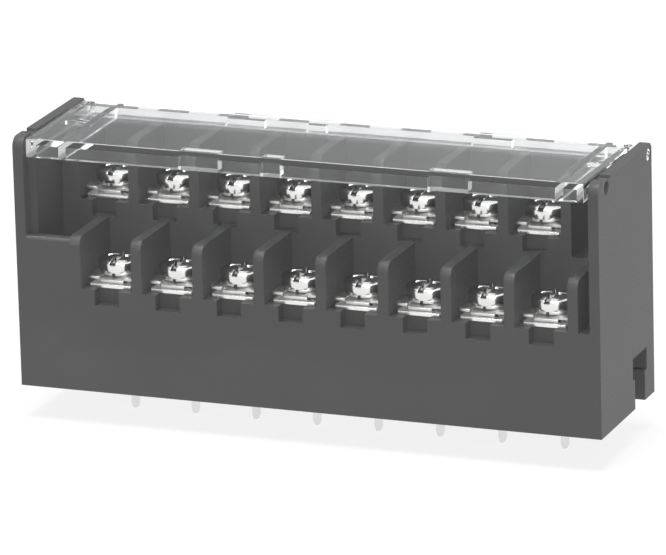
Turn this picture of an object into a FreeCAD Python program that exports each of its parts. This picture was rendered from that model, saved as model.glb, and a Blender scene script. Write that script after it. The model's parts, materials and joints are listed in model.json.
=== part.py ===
import FreeCAD, Part
import math
import os
from FreeCAD import Vector

# Two-tier barrier terminal strip for a printed board, with a hinged clear cover.
# X runs along the strip, Y from the front to the back and Z up from the board.
# The origin is the middle of the footprint, on the board's surface.

# Wire bays in two tiers, the upper one set back and half a pitch to the left
poles = 8
pitch = 7.62
barrier = 1.25
bay_depth = 8.3
lower_bay_extra = 0.7
bay_floor = 12.4
tier_rise = 8.05
barrier_height = 6.25
upper_barrier_height = 6.95
barrier_round = 1.1
back_wall = 1.4
back_wall_rise = 0.2

# Notch in the front wall under each bay
notch_width = 3.0
notch_height = 1.85
notch_depth = 1.5

# End walls: rounded front corner and the dip behind it
end_wall = 1.25
wall_round = 1.2
wall_chamfer = 0.5
dip_start = 3.0
dip_length = 1.3
dip_depth = 0.35

# Pockets at the ends of the two tiers
left_pocket = 5.51
right_slot = 1.38
ledge_height = 5.9
ledge_wall = 1.3
ledge_round = 0.4
cover_rest = 0.95
cover_rest_setback = 1.6
right_pocket_drop = 2.0

# T-shaped keyway in each end
keyway_from_back = 5.1
keyway_wide = 4.9
keyway_narrow = 3.5
keyway_step = 3.6
keyway_head = 2.6
keyway_depth = 1.5

# Hinge and latch holes in the end walls
hinge_from_back = 0.95
hinge_below_top = 1.25
hinge_hole_radius = 0.8
latch_from_front = 2.83
latch_below_top = 1.1
latch_hole_radius = 0.8

# Clear cover: a plate with a lip all round, ribs across its ends and pads behind its lips
cover_over_barriers = 0.4
cover_end_gap = 0.5
cover_rear_gap = 1.7
cover_plate = 0.9
cover_lip = 1.0
cover_lip_height = 2.2
cover_end = 1.0
arm_radius = 0.9
hinge_clearance = 0.05
stub_gap = 0.15
latch_stub_radius = 0.4
latch_reach = 0.45
latch_clearance = 0.15
lead_in_flare = 0.25
end_rib = 0.95
left_rib_from_end = 3.75
right_rib_from_end = 2.65
cross_rib = 0.8
cross_rib_height = 0.5
cross_rib_from_front = 9.2
wide_pad = 4.9
narrow_pad = 2.4
front_pad_depth = 1.3
rear_pad_depth = 0.8
rear_pad_rise = 0.4
left_pad_from_end = 21.15
right_pad_from_end = 16.45
narrow_pad_step = 8.9

# Terminal: plate, tapped collar, leg and solder pin
plate_side_gap = 0.385
plate_thick = 0.45
plate_chamfer = 0.3
plate_setback = 1.1
plate_rear_gap = 0.5
thread_clearance = 0.05
collar_wall = 0.6
collar_height = 1.4
leg_width = 3.0
leg_thick = 0.6
pin_width = 0.9
pin_tip_width = 0.45
pin_length = 4.0
pin_taper = 0.6
leg_clearance = 0.05
collar_clearance = 0.2

# Screw with a captive square washer and a split spring washer
shank_radius = 1.45
shank_length = 6.0
shank_chamfer = 0.3
head_margin = 0.35
head_side = 1.0
head_dome = 0.5
dome_run = 0.9
dome_bulge = 0.12
slot_width = 0.7
slot_depth = 0.62
cross_width = 0.8
cross_span = 3.0
cross_depth = 1.1
washer_side_gap = 0.185
washer_rear_gap = 0.65
washer_thick = 0.3
tongue_width = 2.9
tongue_length = 1.0
tongue_angle = 20.0
tongue_slit = 0.1
washer_corner = 0.4
washer_hole_clearance = 0.15
washer_gap = 0.05
spring_margin = 0.2
spring_thick = 0.4
spring_split = 0.35
tip_clearance = 0.5

# Sizes that follow from those above
bay_width = pitch - barrier
tier_step = bay_depth + lower_bay_extra
length = end_wall * 2 + left_pocket + right_slot + pitch * poles + barrier
depth = tier_step + bay_depth + back_wall
front = -depth / 2
back = depth / 2
left = -length / 2
right = length / 2
inner_left = left + end_wall
inner_right = right - end_wall
lower_row = inner_left + left_pocket + barrier + bay_width / 2
upper_row = lower_row - pitch / 2
upper_front = front + tier_step
upper_floor = bay_floor + tier_rise
barrier_top = bay_floor + barrier_height
upper_barrier_top = upper_floor + upper_barrier_height
bay_back = back - back_wall
back_wall_top = upper_barrier_top + back_wall_rise
cover_low = upper_barrier_top + cover_over_barriers
cover_top = cover_low + cover_lip_height
cover_under = cover_top - cover_plate
wall_top = cover_top
cover_left = inner_left + cover_end_gap
cover_right = inner_right - cover_end_gap
cover_back = back - cover_rear_gap
hinge_y = back - hinge_from_back
hinge_height = wall_top - hinge_below_top
latch_y = front + latch_from_front
latch_height = wall_top - latch_below_top
plate_width = bay_width - 2 * plate_side_gap
plate_length = bay_depth - plate_setback - plate_rear_gap
leg_from_front = plate_setback + plate_length - leg_thick / 2
thread_radius = shank_radius + thread_clearance
collar_radius = thread_radius + collar_wall
washer_hole = shank_radius + washer_hole_clearance
washer_side = bay_width - 2 * washer_side_gap
washer_drop = tongue_length * math.tan(math.radians(tongue_angle))
screw_from_front = bay_depth - washer_rear_gap - washer_side / 2
head_radius = washer_side / 2 - head_margin
spring_radius = head_radius - spring_margin
washer_seat = plate_thick + washer_gap
spring_seat = washer_seat + washer_drop + washer_thick
head_seat = spring_seat + spring_thick
bore_depth = shank_length - head_seat + tip_clearance


def block(x0, x1, y0, y1, z0, z1):
    return Part.makeBox(x1 - x0, y1 - y0, z1 - z0, Vector(x0, y0, z0))


def bar_along_x(x0, x1, radius, y, z):
    return Part.makeCylinder(radius, x1 - x0, Vector(x0, y, z), Vector(1, 0, 0))


def upright(radius, x, y, z0, z1):
    return Part.makeCylinder(radius, z1 - z0, Vector(x, y, z0))


def outline_face(points):
    corners = [Vector(*p) for p in points]
    return Part.Face(Part.makePolygon(corners + corners[:1]))


def rounded_rib(x0, x1, y0, y1, z0, z1, radius):
    """A rib along Y whose front top corner is rounded."""
    bend = radius * (1 - math.sqrt(0.5))
    corner = Part.Arc(Vector(x0, y0, z1 - radius), Vector(x0, y0 + bend, z1 - bend),
                      Vector(x0, y0 + radius, z1)).toShape()
    rest = Part.makePolygon([Vector(x0, y0 + radius, z1), Vector(x0, y1, z1), Vector(x0, y1, z0),
                             Vector(x0, y0, z0), Vector(x0, y0, z1 - radius)]).Edges
    return Part.Face(Part.Wire([corner] + rest)).extrude(Vector(x1 - x0, 0, 0))


def bay_centre(first, number):
    return first + pitch * number


def barrier_start(first, number):
    """Left face of the rib to the left of the bay with this number."""
    return bay_centre(first, number) - bay_width / 2 - barrier


def end_plate(x0):
    """One end wall: rounded front corner, then a shallow dip in its top edge."""
    wall = rounded_rib(x0, x0 + end_wall, front, back, 0, wall_top, wall_round)
    dip_front = front + dip_start
    dip = block(x0, x0 + end_wall, dip_front, dip_front + dip_length, wall_top - dip_depth, wall_top)
    wall = wall.cut(dip)
    rear = [e for e in wall.Edges if e.BoundBox.YMin > back - wall_chamfer / 2
            and e.BoundBox.ZMin > wall_top - wall_chamfer / 2]
    return wall.makeChamfer(wall_chamfer, rear)


def row_of_barriers(first, y0, y1, z0, z1):
    ribs = []
    for number in range(poles + 1):
        x = barrier_start(first, number)
        ribs.append(rounded_rib(x, x + barrier, y0, y1, z0, z1, barrier_round))
    return ribs


def keyway(face_x, inward):
    """T-shaped slot in an end face, open at the bottom."""
    x0, x1 = sorted((face_x, face_x + inward * keyway_depth))
    centre = back - keyway_from_back
    narrow = block(x0, x1, centre - keyway_narrow / 2, centre + keyway_narrow / 2, 0, keyway_step)
    top = keyway_step + keyway_head
    wide = block(x0, x1, centre - keyway_wide / 2, centre + keyway_wide / 2, keyway_step, top)
    return narrow.fuse(wide)


def latch_cut(x0, x1, inner_x, inward):
    """Latch hole through an end wall, with a flared lead-in up its inner face."""
    hole = bar_along_x(x0, x1, latch_hole_radius, latch_y, latch_height)
    half = latch_stub_radius + latch_clearance
    reach = latch_reach + stub_gap
    outline = outline_face([(inner_x, latch_y - half, latch_height), (inner_x, latch_y + half, latch_height),
                            (inner_x, latch_y + half + lead_in_flare, wall_top),
                            (inner_x, latch_y - half, wall_top)])
    return hole.fuse(outline.extrude(Vector(inward * reach, 0, 0)))


def leg_slot(x, face_y, top):
    """Slot that a terminal's leg and pin pass through, down to the board."""
    half = leg_width / 2 + leg_clearance
    thick = leg_thick / 2 + leg_clearance
    y = face_y + leg_from_front
    return block(x - half, x + half, y - thick, y + thick, 0, top)


def make_housing():
    lower_block = block(inner_left, inner_right, front, upper_front, 0, bay_floor)
    upper_block = block(inner_left, inner_right, upper_front, back, 0, upper_floor)
    rear_wall = block(inner_left, inner_right, bay_back, back, upper_floor, back_wall_top)
    solids = [upper_block, rear_wall, end_plate(left), end_plate(inner_right)]
    solids += row_of_barriers(lower_row, front, upper_front, bay_floor, barrier_top)
    solids += row_of_barriers(upper_row, upper_front, bay_back, upper_floor, upper_barrier_top)

    # Left end: ledge in front of the pocket, and the wall that the cover rests on
    first_bay = barrier_start(lower_row, 0)
    ledge = rounded_rib(inner_left, first_bay, front, front + ledge_wall, bay_floor, bay_floor + ledge_height,
                        ledge_round)
    rest_right = inner_left + cover_rest
    rest = block(inner_left, rest_right, front + cover_rest_setback, bay_back, bay_floor, back_wall_top)
    filler_right = barrier_start(upper_row, 0)
    filler = block(rest_right, filler_right, upper_front, bay_back, upper_floor, upper_barrier_top)
    solids += [ledge, rest, filler]
    housing = lower_block.multiFuse(solids).removeSplitter()

    cuts = []
    for first, face_y, floor in ((lower_row, front, bay_floor), (upper_row, upper_front, upper_floor)):
        for number in range(poles):
            x = bay_centre(first, number)
            cuts.append(block(x - notch_width / 2, x + notch_width / 2, face_y, face_y + notch_depth,
                              floor - notch_height, floor))
            cuts.append(upright(collar_radius + collar_clearance, x, face_y + screw_from_front,
                                floor - bore_depth, floor))
            cuts.append(leg_slot(x, face_y, floor))

    # Right end: pocket beside the last upper barrier
    pocket_left = barrier_start(upper_row, poles) + barrier
    pocket_low = upper_floor - right_pocket_drop
    cuts.append(block(pocket_left, inner_right, upper_front, bay_back, pocket_low, upper_floor))

    cuts += [keyway(left, 1), keyway(right, -1)]
    cuts.append(bar_along_x(left, inner_left, hinge_hole_radius, hinge_y, hinge_height))
    cuts.append(bar_along_x(inner_right, right, hinge_hole_radius, hinge_y, hinge_height))
    cuts.append(latch_cut(left, inner_left, inner_left, -1))
    cuts.append(latch_cut(inner_right, right, inner_right, 1))
    return housing.cut(Part.makeCompound(cuts)).removeSplitter()


def cover_stubs():
    """Hinge arms with their stubs, and the latch stubs, at both ends of the cover."""
    pieces = []
    hinge_radius = hinge_hole_radius - hinge_clearance
    hinge_reach = end_wall - stub_gap + cover_end_gap
    latch_length = latch_reach + cover_end_gap
    arm_low = hinge_height - arm_radius
    arm_top = hinge_height + arm_radius
    for x0, outward in ((cover_left, -1), (cover_right - cover_end, 1)):
        x1 = x0 + cover_end
        pieces.append(block(x0, x1, cover_back - cover_lip, hinge_y, arm_low, arm_top))
        pieces.append(bar_along_x(x0, x1, arm_radius, hinge_y, hinge_height))
        face = x0 if outward < 0 else x1
        stub_start, stub_end = sorted((face, face + outward * hinge_reach))
        pieces.append(bar_along_x(stub_start, stub_end, hinge_radius, hinge_y, hinge_height))
        stub_start, stub_end = sorted((face, face + outward * latch_length))
        pieces.append(bar_along_x(stub_start, stub_end, latch_stub_radius, latch_y, latch_height))
    return pieces


def cover_ribs():
    """A rib from lip to lip near each end, tied to the end by a shallow cross rib."""
    inside_front = front + cover_lip
    inside_back = cover_back - cover_lip
    left_rib = cover_left + left_rib_from_end
    right_rib = cover_right - right_rib_from_end
    cross_y = front + cross_rib_from_front
    cross_low = cover_under - cross_rib_height
    return [block(left_rib, left_rib + end_rib, inside_front, inside_back, cover_low, cover_under),
            block(right_rib - end_rib, right_rib, inside_front, inside_back, cover_low, cover_under),
            block(cover_left + cover_end, left_rib, cross_y, cross_y + cross_rib, cross_low, cover_under),
            block(right_rib, cover_right - cover_end, cross_y, cross_y + cross_rib, cross_low, cover_under)]


def cover_pads():
    """Three pads behind the front lip and three in front of the rear lip."""
    left_pad = cover_left + left_pad_from_end
    right_pad = cover_right - right_pad_from_end
    pads = []
    for place, width in ((left_pad, wide_pad), (left_pad + narrow_pad_step, narrow_pad), (right_pad, wide_pad)):
        x0 = place - width / 2
        x1 = place + width / 2
        front_lip = front + cover_lip
        rear_lip = cover_back - cover_lip
        pads.append(block(x0, x1, front_lip, front_lip + front_pad_depth, cover_low, cover_under))
        pads.append(block(x0, x1, rear_lip - rear_pad_depth, rear_lip, cover_low + rear_pad_rise, cover_under))
    return pads


def make_cover():
    shell = block(cover_left, cover_right, front, cover_back, cover_low, cover_top)
    inside = block(cover_left + cover_end, cover_right - cover_end, front + cover_lip, cover_back - cover_lip,
                   cover_low, cover_under)
    return shell.cut(inside).multiFuse(cover_stubs() + cover_ribs() + cover_pads()).removeSplitter()


def make_terminal(x, face_y, floor):
    y0 = face_y + plate_setback
    y1 = y0 + plate_length
    plate = block(x - plate_width / 2, x + plate_width / 2, y0, y1, floor, floor + plate_thick)
    corners = [e for e in plate.Edges if e.BoundBox.ZLength > plate_thick / 2]
    plate = plate.makeChamfer(plate_chamfer, corners)
    screw_y = face_y + screw_from_front
    collar = upright(collar_radius, x, screw_y, floor - collar_height, floor)
    leg_y = face_y + leg_from_front
    leg = block(x - leg_width / 2, x + leg_width / 2, leg_y - leg_thick / 2, leg_y + leg_thick / 2, 0, floor)
    shoulder = pin_taper - pin_length
    pin_y = leg_y - leg_thick / 2
    wide = pin_width / 2
    narrow = pin_tip_width / 2
    pin = outline_face([(x - wide, pin_y, 0), (x + wide, pin_y, 0), (x + wide, pin_y, shoulder),
                        (x + narrow, pin_y, -pin_length), (x - narrow, pin_y, -pin_length),
                        (x - wide, pin_y, shoulder)]).extrude(Vector(0, leg_thick, 0))
    terminal = plate.multiFuse([collar, leg, pin]).removeSplitter()
    return terminal.cut(upright(thread_radius, x, screw_y, floor - collar_height, floor + plate_thick))


def make_square_washer(x, y, low):
    """Square washer with a tongue bent down at the front and at the back, on to the wire."""
    half = washer_side / 2
    bend = half - tongue_length
    flat = low + washer_drop
    top = flat + washer_thick
    sheet = block(x - half, x + half, y - half, y + half, flat, top)
    sheet = sheet.makeFillet(washer_corner, [e for e in sheet.Edges if e.BoundBox.ZLength > washer_thick / 2])
    tongue = tongue_width / 2
    window = tongue + tongue_slit
    cuts = [upright(washer_hole, x, y, flat, top)]
    tongues = []
    for side in (-1, 1):
        edge, fold = y + side * half, y + side * bend
        cuts.append(block(x - window, x + window, min(edge, fold), max(edge, fold), flat, top))
        section = [(edge, low), (fold, flat), (fold, top), (edge, low + washer_thick)]
        face = outline_face([(x - tongue, along, height) for along, height in section])
        tongues.append(face.extrude(Vector(tongue_width, 0, 0)))
    return sheet.cut(Part.makeCompound(cuts)).multiFuse(tongues).removeSplitter()


def make_spring_washer(x, y, low):
    ring = upright(spring_radius, x, y, low, low + spring_thick)
    ring = ring.cut(upright(washer_hole, x, y, low, low + spring_thick))
    split = block(x - spring_split / 2, x + spring_split / 2, y - spring_radius, y, low, low + spring_thick)
    return ring.cut(split)


def make_screw(x, y, head_low):
    """Pan head over a plain shank, with a slot across it and a cross recess."""
    side_top = head_low + head_side
    top = side_top + head_dome
    tip = head_low - shank_length
    crown = head_radius - dome_run
    chord = math.hypot(dome_run, head_dome)
    bulge = Vector(x + head_radius - dome_run / 2 + dome_bulge * head_dome / chord, y,
                   side_top + head_dome / 2 + dome_bulge * dome_run / chord)
    dome = Part.Arc(Vector(x + head_radius, y, side_top), bulge, Vector(x + crown, y, top)).toShape()
    outline = Part.makePolygon([Vector(x + crown, y, top), Vector(x, y, top), Vector(x, y, tip),
                                Vector(x + shank_radius - shank_chamfer, y, tip),
                                Vector(x + shank_radius, y, tip + shank_chamfer),
                                Vector(x + shank_radius, y, head_low), Vector(x + head_radius, y, head_low),
                                Vector(x + head_radius, y, side_top)]).Edges
    body = Part.Face(Part.Wire([dome] + outline)).revolve(Vector(x, y, 0), Vector(0, 0, 1), 360)
    span = cross_span / 2
    arm = cross_width / 2
    side = slot_width / 2
    cuts = [block(x - side, x + side, y - head_radius, y + head_radius, top - slot_depth, top),
            block(x - span, x + span, y - arm, y + arm, top - cross_depth, top),
            block(x - arm, x + arm, y - span, y + span, top - cross_depth, top)]
    return body.cut(Part.makeCompound(cuts)).removeSplitter()


def write(name, shape):
    shape.exportStep("parts/" + name + ".step")
    print(name, "solids", len(shape.Solids), "volume", round(shape.Volume, 2), "valid", shape.isValid())


os.makedirs("parts", exist_ok=True)
write("housing", make_housing())
write("cover", make_cover())
for tier, first, face_y, floor in (("lower", lower_row, front, bay_floor),
                                   ("upper", upper_row, upper_front, upper_floor)):
    for number in range(poles):
        x = bay_centre(first, number)
        y = face_y + screw_from_front
        label = tier + "_%s_" + str(number + 1)
        write(label % "terminal", make_terminal(x, face_y, floor))
        washers = [make_square_washer(x, y, floor + washer_seat), make_spring_washer(x, y, floor + spring_seat)]
        write(label % "washers", Part.makeCompound(washers))
        write(label % "screw", make_screw(x, y, floor + head_seat))
print("length", round(length, 3), "depth", round(depth, 3), "height", round(wall_top, 3))
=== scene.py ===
import json
import math

import bpy
from mathutils import Matrix, Vector


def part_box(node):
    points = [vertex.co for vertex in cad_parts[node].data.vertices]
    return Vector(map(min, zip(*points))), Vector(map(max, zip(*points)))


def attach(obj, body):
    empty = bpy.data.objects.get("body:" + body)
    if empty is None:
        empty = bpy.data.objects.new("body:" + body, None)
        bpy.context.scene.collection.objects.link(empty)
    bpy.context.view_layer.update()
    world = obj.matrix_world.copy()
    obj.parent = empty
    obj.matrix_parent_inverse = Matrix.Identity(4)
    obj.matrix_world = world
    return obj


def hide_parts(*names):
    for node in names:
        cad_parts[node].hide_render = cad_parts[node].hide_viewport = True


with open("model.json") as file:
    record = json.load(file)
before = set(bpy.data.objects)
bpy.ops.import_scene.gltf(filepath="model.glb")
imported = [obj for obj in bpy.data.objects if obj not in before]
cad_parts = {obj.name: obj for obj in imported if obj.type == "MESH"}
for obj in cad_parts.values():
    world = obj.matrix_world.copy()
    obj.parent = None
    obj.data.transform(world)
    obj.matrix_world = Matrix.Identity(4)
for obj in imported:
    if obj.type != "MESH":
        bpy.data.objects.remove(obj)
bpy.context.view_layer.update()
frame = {"nodes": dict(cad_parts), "record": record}
mm = 0.001
poles = 8
tiers = ("lower", "upper")
cloudSpan = (0.3, 0.7)       # the part of 0 to 1 that a soft noise fills
grainSpan = (0.35, 0.65)
anyBounce = 0.5              # a ray's depth above this means one bounce or more
print("frame loaded:", len(frame["nodes"]), "nodes")


# Shader helpers

def addNode(tree, kind, place, **values):
    node = tree.nodes.new(kind)
    node.location = place
    for name, value in values.items():
        setattr(node, name, value)
    return node


def rampNode(tree, place, fromValues, toValues):
    ramp = addNode(tree, "ShaderNodeMapRange", place)
    ramp.inputs["From Min"].default_value = fromValues[0]
    ramp.inputs["From Max"].default_value = fromValues[1]
    ramp.inputs["To Min"].default_value = toValues[0]
    ramp.inputs["To Max"].default_value = toValues[1]
    return ramp


def mathNode(tree, place, operation, *values, **settings):
    node = addNode(tree, "ShaderNodeMath", place, operation=operation, **settings)
    for socket, value in zip(node.inputs, values):
        if value is not None:
            socket.default_value = value
    return node


def noiseNode(tree, place, detail):
    noise = addNode(tree, "ShaderNodeTexNoise", place)
    noise.inputs["Detail"].default_value = detail
    return noise


def newGroup(name, inputs, outputs):
    group = bpy.data.node_groups.new(name, "ShaderNodeTree")
    for label, kind, value in inputs:
        socket = group.interface.new_socket(label, in_out="INPUT", socket_type=kind)
        socket.default_value = value
    for label, kind in outputs:
        group.interface.new_socket(label, in_out="OUTPUT", socket_type=kind)
    start = addNode(group, "NodeGroupInput", (-900, 0))
    end = addNode(group, "NodeGroupOutput", (700, 0))
    return group, start, end


# A noise moves the roughness around its middle, and the height
def spreadGloss(group, start, end, noise, left):
    low = mathNode(group, (left, -350), "SUBTRACT")
    high = mathNode(group, (left, -500), "ADD")
    rough = rampNode(group, (left + 300, -200), grainSpan, (0, 1))
    link = group.links.new
    for limit, socket in ((low, "To Min"), (high, "To Max")):
        link(start.outputs["Roughness"], limit.inputs[0])
        link(start.outputs["Roughness Range"], limit.inputs[1])
        link(limit.outputs[0], rough.inputs[socket])
    link(noise.outputs["Fac"], rough.inputs["Value"])
    link(rough.outputs["Result"], end.inputs["Roughness"])
    link(noise.outputs["Fac"], end.inputs["Height"])


def moulded():    # faint flow marks in the tone, fine spark grain in the gloss and height
    group, start, end = newGroup("mouldedSkin", [
        ("Colour", "NodeSocketColor", (0.1, 0.1, 0.1, 1)),
        ("Flow", "NodeSocketFloat", 0.04),
        ("Flow Scale", "NodeSocketFloat", 60),
        ("Grain Scale", "NodeSocketFloat", 6000),
        ("Roughness", "NodeSocketFloat", 0.5),
        ("Roughness Range", "NodeSocketFloat", 0.08),
    ], [("Colour", "NodeSocketColor"), ("Roughness", "NodeSocketFloat"), ("Height", "NodeSocketFloat")])
    coords = addNode(group, "ShaderNodeTexCoord", (-900, 300))
    flow = noiseNode(group, (-650, 300), 3)
    grain = noiseNode(group, (-650, -200), 2)
    tone = rampNode(group, (-400, 300), cloudSpan, (0, 1))
    less = mathNode(group, (-650, 120), "SUBTRACT", 1)
    more = mathNode(group, (-650, 0), "ADD", 1)
    tint = addNode(group, "ShaderNodeVectorMath", (-100, 200), operation="SCALE")
    link = group.links.new
    link(coords.outputs["Object"], flow.inputs["Vector"])
    link(coords.outputs["Object"], grain.inputs["Vector"])
    link(start.outputs["Flow Scale"], flow.inputs["Scale"])
    link(start.outputs["Grain Scale"], grain.inputs["Scale"])
    link(start.outputs["Flow"], less.inputs[1])
    link(start.outputs["Flow"], more.inputs[1])
    link(flow.outputs["Fac"], tone.inputs["Value"])
    link(less.outputs[0], tone.inputs["To Min"])
    link(more.outputs[0], tone.inputs["To Max"])
    link(start.outputs["Colour"], tint.inputs[0])
    link(tone.outputs["Result"], tint.inputs["Scale"])
    link(tint.outputs["Vector"], end.inputs["Colour"])
    spreadGloss(group, start, end, grain, -400)
    return group


def plated():    # cloudy tone, with drawn lines in the gloss and height
    group, start, end = newGroup("platedSkin", [
        ("Colour", "NodeSocketColor", (0.8, 0.8, 0.78, 1)),
        ("Cloud", "NodeSocketFloat", 0.06),
        ("Cloud Scale", "NodeSocketFloat", 500),
        ("Line Scale", "NodeSocketFloat", 2500),
        ("Line Stretch", "NodeSocketVector", (1, 0.05, 1)),
        ("Roughness", "NodeSocketFloat", 0.25),
        ("Roughness Range", "NodeSocketFloat", 0.06),
    ], [("Colour", "NodeSocketColor"), ("Roughness", "NodeSocketFloat"), ("Height", "NodeSocketFloat")])
    coords = addNode(group, "ShaderNodeTexCoord", (-900, 300))
    cloud = noiseNode(group, (-650, 300), 2)
    stretch = addNode(group, "ShaderNodeVectorMath", (-700, -200), operation="MULTIPLY")
    lines = noiseNode(group, (-500, -200), 3)
    tone = rampNode(group, (-400, 300), cloudSpan, (0, 1))
    less = mathNode(group, (-650, 120), "SUBTRACT", 1)
    tint = addNode(group, "ShaderNodeVectorMath", (-100, 200), operation="SCALE")
    link = group.links.new
    link(coords.outputs["Object"], cloud.inputs["Vector"])
    link(coords.outputs["Object"], stretch.inputs[0])
    link(start.outputs["Line Stretch"], stretch.inputs[1])
    link(stretch.outputs["Vector"], lines.inputs["Vector"])
    link(start.outputs["Cloud Scale"], cloud.inputs["Scale"])
    link(start.outputs["Line Scale"], lines.inputs["Scale"])
    link(start.outputs["Cloud"], less.inputs[1])
    link(cloud.outputs["Fac"], tone.inputs["Value"])
    link(less.outputs[0], tone.inputs["To Min"])
    link(start.outputs["Colour"], tint.inputs[0])
    link(tone.outputs["Result"], tint.inputs["Scale"])
    link(tint.outputs["Vector"], end.inputs["Colour"])
    spreadGloss(group, start, end, lines, -300)
    return group


def skinMaterial(name, group, values, bump, shader):
    material = bpy.data.materials.new(name)
    material.use_nodes = True
    tree = material.node_tree
    principled = tree.nodes["Principled BSDF"]
    skin = addNode(tree, "ShaderNodeGroup", (-600, 100))
    skin.node_tree = group
    for label, value in values.items():
        skin.inputs[label].default_value = value
    bumpNode = addNode(tree, "ShaderNodeBump", (-250, -250))
    bumpNode.inputs["Strength"].default_value = bump["strength"]
    bumpNode.inputs["Distance"].default_value = bump["distance"]
    tree.links.new(skin.outputs["Colour"], principled.inputs["Base Color"])
    tree.links.new(skin.outputs["Roughness"], principled.inputs["Roughness"])
    tree.links.new(skin.outputs["Height"], bumpNode.inputs["Height"])
    tree.links.new(bumpNode.outputs["Normal"], principled.inputs["Normal"])
    for label, value in shader.items():
        principled.inputs[label].default_value = value
    return material


def finishMaterial(name, group, finish):
    return skinMaterial(name, group, finish["skin"], finish["bump"], finish["shader"])


mouldedSkin = moulded()
platedSkin = plated()

housingFinish = {
    "skin": {"Colour": (0.1, 0.1, 0.101, 1), "Flow": 0.05, "Flow Scale": 70, "Grain Scale": 5000,
             "Roughness": 0.5, "Roughness Range": 0.07},
    "bump": {"strength": 0.15, "distance": 0.00002},
    "shader": {"Specular IOR Level": 0.4},
}
coverFinish = {
    "skin": {"Colour": (0.97, 0.985, 0.99, 1), "Flow": 0.01, "Flow Scale": 50, "Grain Scale": 900,
             "Roughness": 0.03, "Roughness Range": 0.02},
    "bump": {"strength": 0.05, "distance": 0.00002},
    "shader": {"Transmission Weight": 1, "IOR": 1.49, "Metallic": 0},
}
tinFinish = {
    "skin": {"Colour": (0.82, 0.82, 0.81, 1), "Cloud": 0.06, "Cloud Scale": 700, "Line Scale": 2500,
             "Roughness": 0.24, "Roughness Range": 0.04},
    "bump": {"strength": 0.02, "distance": 0.00001},
    "shader": {"Metallic": 1},
}
washerFinish = {
    "skin": {"Colour": (0.62, 0.62, 0.61, 1), "Cloud": 0.05, "Cloud Scale": 500, "Line Scale": 2200,
             "Roughness": 0.36, "Roughness Range": 0.03},
    "bump": {"strength": 0.02, "distance": 0.00001},
    "shader": {"Metallic": 1},
}
screwFinish = {
    "skin": {"Colour": (0.78, 0.78, 0.77, 1), "Cloud": 0.05, "Cloud Scale": 400, "Line Scale": 1800,
             "Line Stretch": (1, 1, 1), "Roughness": 0.15, "Roughness Range": 0.03},
    "bump": {"strength": 0.015, "distance": 0.00001},
    "shader": {"Metallic": 1},
}

# Painted glow: where light caught inside the clear plastic runs out of glossy bounces, the plastic glows
# with a painted tone instead of black, set by height and depth
paintedEdgeGlow = {
    "bounces": 2,
    "heights": (28.8 * mm, 29 * mm),    # from the ribs and lips up to the plate
    "heightGlows": (1, 0.05),
    "depths": (5 * mm, 7 * mm),         # from the middle to the rear lip
    "depthGlows": (0.3, 1.1),
}


# Paints a glow into the clear plastic's emission after the glossy bounces: strongest in the ribs and lips
# towards the rear, faint in the plate
def addPaintedEdgeGlow(material):
    tree = material.node_tree
    principled = tree.nodes["Principled BSDF"]
    path = addNode(tree, "ShaderNodeLightPath", (-900, -450))
    caught = mathNode(tree, (-700, -450), "GREATER_THAN", None, paintedEdgeGlow["bounces"] - 1 + anyBounce)
    coords = addNode(tree, "ShaderNodeTexCoord", (-1100, -650))
    axes = addNode(tree, "ShaderNodeSeparateXYZ", (-900, -650))
    rise = rampNode(tree, (-700, -650), paintedEdgeGlow["heights"], paintedEdgeGlow["heightGlows"])
    rear = rampNode(tree, (-700, -900), paintedEdgeGlow["depths"], paintedEdgeGlow["depthGlows"])
    tone = mathNode(tree, (-500, -750), "MULTIPLY")
    glow = mathNode(tree, (-450, -500), "MULTIPLY")
    principled.inputs["Emission Strength"].default_value = 1
    tree.links.new(path.outputs["Glossy Depth"], caught.inputs[0])
    tree.links.new(coords.outputs["Object"], axes.inputs["Vector"])
    tree.links.new(axes.outputs["Z"], rise.inputs["Value"])
    tree.links.new(axes.outputs["Y"], rear.inputs["Value"])
    tree.links.new(rise.outputs["Result"], tone.inputs[0])
    tree.links.new(rear.outputs["Result"], tone.inputs[1])
    tree.links.new(caught.outputs[0], glow.inputs[0])
    tree.links.new(tone.outputs[0], glow.inputs[1])
    tree.links.new(glow.outputs[0], principled.inputs["Emission Color"])


housingPlastic = finishMaterial("housingPlastic", mouldedSkin, housingFinish)
clearPlastic = finishMaterial("clearPlastic", mouldedSkin, coverFinish)
addPaintedEdgeGlow(clearPlastic)
tinPlate = finishMaterial("tinPlate", platedSkin, tinFinish)
washerPlate = finishMaterial("washerPlate", platedSkin, washerFinish)
screwPlate = finishMaterial("screwPlate", platedSkin, screwFinish)
print("materials made")


# Pieces

def deselectAll():
    if bpy.context.object and bpy.context.object.mode != "OBJECT":
        bpy.ops.object.mode_set(mode="OBJECT")
    bpy.ops.object.select_all(action="DESELECT")


def takeUp(piece):
    deselectAll()
    piece.select_set(True)
    bpy.context.view_layer.objects.active = piece


def applyModifier(piece, kind, **values):
    modifier = piece.modifiers.new(kind.title(), kind)
    for name, value in values.items():
        setattr(modifier, name, value)
    takeUp(piece)
    bpy.ops.object.modifier_apply(modifier=modifier.name)


# Lowers what lies under a height a little, so that touching shells don't weld
def partShells(mesh, height, gap=0.005 * mm):
    lower = set()
    for face in mesh.polygons:
        above = face.center.z - height
        if above < -gap or (above < gap and face.normal.z > 0.5):
            lower.update(face.vertices)
    for index in lower:
        mesh.vertices[index].co.z -= gap


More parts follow.
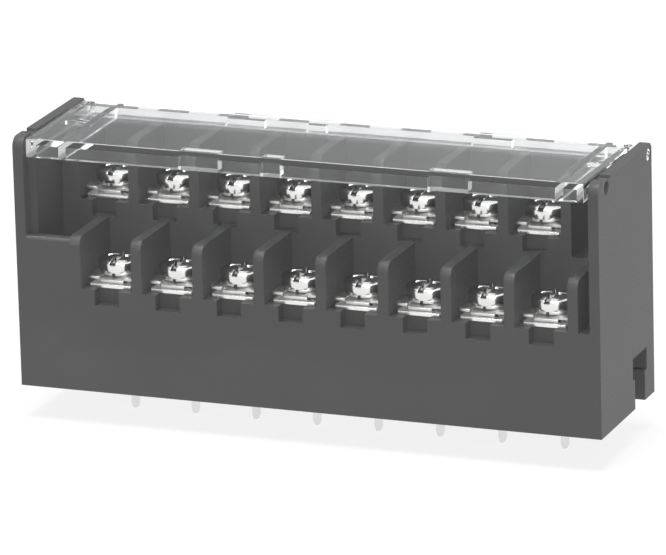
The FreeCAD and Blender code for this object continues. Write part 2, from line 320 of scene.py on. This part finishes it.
# A merged copy of a node, with its flat faces whole
def cleanCopy(node, name, partHeight=None, mergeDistance=0.002 * mm, flatAngle=1.0):
    piece = bpy.data.objects.new(name, frame["nodes"][node].data.copy())
    bpy.context.scene.collection.objects.link(piece)
    if partHeight:
        partShells(piece.data, partHeight)
    takeUp(piece)
    bpy.ops.object.mode_set(mode="EDIT")
    bpy.ops.mesh.select_all(action="SELECT")
    bpy.ops.mesh.remove_doubles(threshold=mergeDistance)
    bpy.ops.mesh.dissolve_limited(angle_limit=math.radians(flatAngle))
    bpy.ops.object.mode_set(mode="OBJECT")
    return piece


def softenEdges(piece, width, segments, edgeAngle=35, smoothAngle=32):
    applyModifier(piece, "BEVEL", width=width, segments=segments, limit_method="ANGLE",
                  angle_limit=math.radians(edgeAngle), miter_outer="MITER_ARC", harden_normals=False)
    takeUp(piece)
    bpy.ops.object.shade_smooth_by_angle(angle=math.radians(smoothAngle))
    applyModifier(piece, "TRIANGULATE", quad_method="BEAUTY", ngon_method="BEAUTY", keep_custom_normals=True)
    applyModifier(piece, "WEIGHTED_NORMAL", mode="FACE_AREA", weight=100, keep_sharp=True)


def setMaterial(piece, material):
    piece.data.materials.clear()
    piece.data.materials.append(material)


# A softened copy stands in for a CAD node
def dress(node, name, material, slot, width, segments, partBelowTop=None):
    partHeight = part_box(node)[1][2] - partBelowTop if partBelowTop else None
    piece = cleanCopy(node, name, partHeight)
    softenEdges(piece, width, segments)
    setMaterial(piece, material)
    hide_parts(node)
    for body, members in frame["record"]["behaviour"]["bodies"].items():
        if node in members:
            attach(piece, body)


housingEdges = {"width": 0.12 * mm, "segments": 2}

dress("housing", "housingShell", housingPlastic, "housing", **housingEdges)
print("housing dressed")

coverEdges = {"width": 0.12 * mm, "segments": 2}

dress("cover", "clearCover", clearPlastic, "cover", **coverEdges)
print("cover dressed")

screwForm = {
    "headRadius": 2.65 * mm,
    "sideHeight": 1.0 * mm,
    "domeHeight": 0.5 * mm,
    "domePower": 2.2,          # 2 is an ellipse, more is a flatter crown
    "domeRings": 12,
    "domeEnd": 84,             # degrees at the last ring, short of the pole
    "segments": 64,
    "edge": 0.05 * mm,
    "edgeAngle": 40,
    "smoothAngle": 32,
    "slotWidth": 0.7 * mm,
    "slotReach": 2.2,          # the slot's length in head radii, past both sides
    "slotDepth": 0.62 * mm,
    "crossWidth": 0.8 * mm,
    "crossSpan": 3.0 * mm,
    "crossDepth": 1.1 * mm,
    "cutterRise": 1 * mm,      # how far the cutters stand over the head
    "shankRadius": 1.19 * mm,
    "shankLength": 6.2 * mm,
    "shankSegments": 32,
    "shankSink": 0.2 * mm,     # how far the shank runs up into the head
    "tipHeight": 0.3 * mm,
    "tipTaper": 0.8,
    "threadRadius": 1.43 * mm,
    "threadPitch": 0.5 * mm,
    "threadRidge": 0.254 * mm,
    "threadSteps": 24,         # in each turn
}
screwHeight = screwForm["sideHeight"] + screwForm["domeHeight"]


def raiseRings(rings, radius):    # extrudes the selected disc from ring to ring of (radius, height)
    height = 0
    for nextRadius, nextHeight in rings:
        bpy.ops.mesh.extrude_region_move(TRANSFORM_OT_translate={"value": (0, 0, nextHeight - height)})
        bpy.ops.transform.resize(value=(nextRadius / radius, nextRadius / radius, 1))
        radius, height = nextRadius, nextHeight


def turnPiece(name, radius, rings, segments):
    deselectAll()
    bpy.ops.mesh.primitive_circle_add(vertices=segments, radius=radius, fill_type="NGON")
    piece = bpy.context.object
    piece.name = name
    bpy.ops.object.mode_set(mode="EDIT")
    bpy.ops.mesh.select_all(action="SELECT")
    raiseRings(rings, radius)
    bpy.ops.mesh.select_all(action="SELECT")
    bpy.ops.mesh.normals_make_consistent(inside=False)
    bpy.ops.object.mode_set(mode="OBJECT")
    return piece


def addBlock(name, size, place):
    deselectAll()
    bpy.ops.mesh.primitive_cube_add(size=1, location=place)
    block = bpy.context.object
    block.name = name
    block.scale = size
    bpy.ops.object.transform_apply(location=True, rotation=True, scale=True)
    return block


def combine(piece, tool, operation):
    applyModifier(piece, "BOOLEAN", operation=operation, object=tool, solver="EXACT")
    bpy.data.objects.remove(tool)


def windThread(form):
    turns = int((form["shankLength"] - form["tipHeight"]) / form["threadPitch"]) - 1
    start = (form["threadRadius"] - form["threadRidge"], 0, -form["threadPitch"])
    deselectAll()
    bpy.ops.mesh.primitive_circle_add(vertices=3, radius=form["threadRidge"], location=start,
                                      rotation=(math.radians(90), math.radians(90), 0))
    thread = bpy.context.object
    thread.name = "thread"
    bpy.ops.object.transform_apply(location=True, rotation=True, scale=True)
    applyModifier(thread, "SCREW", axis="Z", angle=math.radians(360), screw_offset=-form["threadPitch"],
                  iterations=turns, steps=form["threadSteps"], render_steps=form["threadSteps"])
    bpy.ops.object.mode_set(mode="EDIT")
    bpy.ops.mesh.select_all(action="SELECT")
    bpy.ops.mesh.fill_holes(sides=3)
    bpy.ops.mesh.normals_make_consistent(inside=False)
    bpy.ops.object.mode_set(mode="OBJECT")
    return thread


def makeScrew(form):    # the underside of its head lies at height 0
    rim, power = form["headRadius"], 2 / form["domePower"]
    lastAngle = math.radians(form["domeEnd"])
    rings = [(rim, form["sideHeight"])]
    for ring in range(1, form["domeRings"] + 1):
        angle = lastAngle * ring / form["domeRings"]
        rise = (math.sin(angle) / math.sin(lastAngle)) ** power
        rings.append((rim * math.cos(angle) ** power, form["sideHeight"] + form["domeHeight"] * rise))
    screw = turnPiece("screw", rim, rings, form["segments"])
    high = screwHeight + form["cutterRise"]
    for width, length, depth in ((form["slotWidth"], rim * form["slotReach"], form["slotDepth"]),
                                 (form["crossWidth"], form["crossSpan"], form["crossDepth"]),
                                 (form["crossSpan"], form["crossWidth"], form["crossDepth"])):
        low = screwHeight - depth
        cutter = addBlock("cutter", (width, length, high - low), (0, 0, (low + high) / 2))
        combine(screw, cutter, "DIFFERENCE")
    applyModifier(screw, "BEVEL", width=form["edge"], segments=2, limit_method="ANGLE",
                  angle_limit=math.radians(form["edgeAngle"]))
    shankEnd = [(form["shankRadius"], form["tipHeight"] - form["shankLength"]),
                (form["shankRadius"] * form["tipTaper"], -form["shankLength"])]
    shank = turnPiece("shank", form["shankRadius"], shankEnd, form["shankSegments"])
    shank.data.transform(Matrix.Translation((0, 0, form["shankSink"])))
    combine(shank, windThread(form), "UNION")
    combine(screw, shank, "UNION")
    takeUp(screw)
    bpy.ops.object.shade_smooth_by_angle(angle=math.radians(form["smoothAngle"]))
    return screw


screwPattern = makeScrew(screwForm)


def placeScrew(node, name, body):
    low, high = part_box(node)
    piece = screwPattern.copy()
    piece.data = screwPattern.data.copy()
    piece.name = name
    bpy.context.scene.collection.objects.link(piece)
    place = ((low[0] + high[0]) / 2, (low[1] + high[1]) / 2, high[2] - screwHeight)
    piece.data.transform(Matrix.Translation(place))
    setMaterial(piece, screwPlate)
    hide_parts(node)
    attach(piece, body)


terminalEdges = {"width": 0.06 * mm, "segments": 2}
washerEdges = {
    "width": 0.06 * mm,
    "segments": 2,
    "partBelowTop": 0.4 * mm,    # the spring washer lies over the square one
}

for tier in tiers:
    for number in range(1, poles + 1):
        dress(f"{tier}_terminal_{number}", f"{tier}Terminal{number}", tinPlate, "terminal", **terminalEdges)
        dress(f"{tier}_washers_{number}", f"{tier}Washers{number}", washerPlate, "washer", **washerEdges)
        placeScrew(f"{tier}_screw_{number}", f"{tier}Screw{number}", f"{tier}_clamp_{number}")
bpy.data.objects.remove(screwPattern)
print("clamps dressed")


# Floor, light and camera

studio = {
    "floorSize": 3.0,
    "floorHeight": -4.0 * mm,
    "floorColour": (0.2, 0.2, 0.2, 1),
    "floorGlow": 0.83,
    "floorRoughness": 0.9,
    "fillLevel": 0.1,             # world light on matt faces
    "backLevels": (0.3, 0.66),    # what gloss sees behind the strip, at these bearings
    "backAngles": (-26, -17),
    "skyLevel": 1.2,              # and above it, between these heights of a unit ray
    "skyHeights": (0.32, 0.55),
    "frontLevel": 0.85,           # and in front of it
    "frontDepths": (0.3, -0.6),
}
lamps = {
    "fillLight": {"direction": (-0.58, 0.79, -0.22), "energy": 1.71, "angle": 30, "shadow": False},
    "backLight": {"direction": (0.5, -0.8, 0.35), "energy": 1.0, "angle": 30, "shadow": False},
    "sideLight": {"direction": (-1, 0, -0.03), "energy": 0.52, "angle": 20, "shadow": True},
    "topLight": {"direction": (0.02, 0.1, -1), "energy": 2.18, "angle": 30, "shadow": True},
}
cameraSetup = {
    "target": Vector((0, -0.17, 13.48)) * mm,
    "distance": 810.4 * mm,
    "azimuth": 21.568,
    "elevation": 16.885,
    "roll": -1.525,
    "lens": 378.97,
    "sensor": 36,
    "clip": (0.01, 20),
}


def makeFloor():
    bpy.ops.mesh.primitive_plane_add(size=studio["floorSize"], location=(0, 0, 0))
    floor = bpy.context.object
    floor.name = "studioFloor"
    floor.data.transform(Matrix.Translation((0, 0, studio["floorHeight"])))
    material = bpy.data.materials.new("studioFloor")
    material.use_nodes = True
    tree = material.node_tree
    principled = tree.nodes["Principled BSDF"]
    principled.inputs["Base Color"].default_value = studio["floorColour"]
    principled.inputs["Roughness"].default_value = studio["floorRoughness"]
    principled.inputs["Emission Color"].default_value = (1, 1, 1, 1)
    path = addNode(tree, "ShaderNodeLightPath", (-800, -200))
    sharp = mathNode(tree, (-500, -200), "LESS_THAN", None, anyBounce)
    glow = mathNode(tree, (-250, -200), "MULTIPLY", None, studio["floorGlow"])
    tree.links.new(path.outputs["Diffuse Depth"], sharp.inputs[0])
    tree.links.new(sharp.outputs[0], glow.inputs[0])
    tree.links.new(glow.outputs[0], principled.inputs["Emission Strength"])
    setMaterial(floor, material)


def makeWorld():
    world = bpy.data.worlds.new("studio")
    bpy.context.scene.world = world
    world.use_nodes = True
    tree = world.node_tree
    background = tree.nodes["Background"]
    background.inputs["Color"].default_value = (1, 1, 1, 1)
    link = tree.links.new
    coords = addNode(tree, "ShaderNodeTexCoord", (-1700, 200))
    axes = addNode(tree, "ShaderNodeSeparateXYZ", (-1500, 200))
    bearing = mathNode(tree, (-1300, 300), "ARCTAN2")
    backAngles = [math.radians(angle) for angle in studio["backAngles"]]
    back = rampNode(tree, (-1100, 400), backAngles, studio["backLevels"])
    rise = rampNode(tree, (-1100, 150), studio["skyHeights"], (0, studio["skyLevel"]))
    ahead = rampNode(tree, (-1100, -100), studio["frontDepths"], (0, studio["frontLevel"]))
    higher = mathNode(tree, (-850, 300), "MAXIMUM")
    gloss = mathNode(tree, (-650, 200), "MAXIMUM")
    path = addNode(tree, "ShaderNodeLightPath", (-850, -200))
    direct = mathNode(tree, (-600, -200), "ADD", use_clamp=True)
    bounced = mathNode(tree, (-750, -400), "ADD")
    glossy = mathNode(tree, (-700, 0), "GREATER_THAN", None, anyBounce)
    mirrored = mathNode(tree, (-550, 0), "MULTIPLY")
    sharp = mathNode(tree, (-600, -400), "LESS_THAN", None, anyBounce)
    matted = mathNode(tree, (-700, -550), "LESS_THAN", None, anyBounce)
    clear = mathNode(tree, (-400, -250), "MULTIPLY")
    matt = addNode(tree, "ShaderNodeMix", (-400, 100), data_type="FLOAT")
    matt.inputs["A"].default_value = studio["fillLevel"]
    level = addNode(tree, "ShaderNodeMix", (-200, 0), data_type="FLOAT")
    level.inputs["B"].default_value = 1
    link(coords.outputs["Generated"], axes.inputs["Vector"])
    link(axes.outputs["X"], bearing.inputs[0])
    link(axes.outputs["Y"], bearing.inputs[1])
    link(bearing.outputs[0], back.inputs["Value"])
    link(axes.outputs["Z"], rise.inputs["Value"])
    link(axes.outputs["Y"], ahead.inputs["Value"])
    link(back.outputs["Result"], higher.inputs[0])
    link(rise.outputs["Result"], higher.inputs[1])
    link(higher.outputs[0], gloss.inputs[0])
    link(ahead.outputs["Result"], gloss.inputs[1])
    link(gloss.outputs[0], matt.inputs["B"])
    link(path.outputs["Glossy Depth"], glossy.inputs[0])
    link(path.outputs["Diffuse Depth"], matted.inputs[0])
    link(glossy.outputs[0], mirrored.inputs[0])
    link(matted.outputs[0], mirrored.inputs[1])
    link(mirrored.outputs[0], matt.inputs["Factor"])
    link(path.outputs["Is Camera Ray"], direct.inputs[0])
    link(path.outputs["Is Transmission Ray"], direct.inputs[1])
    link(matt.outputs["Result"], level.inputs["A"])
    link(path.outputs["Diffuse Depth"], bounced.inputs[0])
    link(path.outputs["Glossy Depth"], bounced.inputs[1])
    link(bounced.outputs[0], sharp.inputs[0])
    link(direct.outputs[0], clear.inputs[0])
    link(sharp.outputs[0], clear.inputs[1])
    link(clear.outputs[0], level.inputs["Factor"])
    link(level.outputs["Result"], background.inputs["Strength"])


def makeSun(name, direction, energy, angle, shadow):
    light = bpy.data.lights.new(name, "SUN")
    light.energy = energy
    light.angle = math.radians(angle)
    light.use_shadow = shadow
    lamp = bpy.data.objects.new(name, light)
    bpy.context.scene.collection.objects.link(lamp)
    lamp.rotation_euler = Vector(direction).to_track_quat("-Z", "Y").to_euler()


def makeCamera():
    azimuth = math.radians(cameraSetup["azimuth"])
    elevation = math.radians(cameraSetup["elevation"])
    forward = Vector((-math.sin(azimuth) * math.cos(elevation), math.cos(azimuth) * math.cos(elevation),
                      -math.sin(elevation)))
    data = bpy.data.cameras.new("camera")
    data.sensor_fit = "HORIZONTAL"
    data.sensor_width = cameraSetup["sensor"]
    data.lens = cameraSetup["lens"]
    data.clip_start, data.clip_end = cameraSetup["clip"]
    camera = bpy.data.objects.new("camera", data)
    bpy.context.scene.collection.objects.link(camera)
    facing = forward.to_track_quat("-Z", "Y").to_matrix().to_4x4()
    roll = Matrix.Rotation(math.radians(cameraSetup["roll"]), 4, "Z")
    place = Matrix.Translation(cameraSetup["target"] - forward * cameraSetup["distance"])
    camera.matrix_world = place @ facing @ roll
    bpy.context.scene.camera = camera


makeFloor()
makeWorld()
for lampName, lampValues in lamps.items():
    makeSun(lampName, **lampValues)
makeCamera()
bpy.context.scene.view_settings.view_transform = "Standard"
# the painted glow in the clear plastic starts after these glossy bounces
bpy.context.scene.cycles.glossy_bounces = paintedEdgeGlow["bounces"]
print("studio ready")
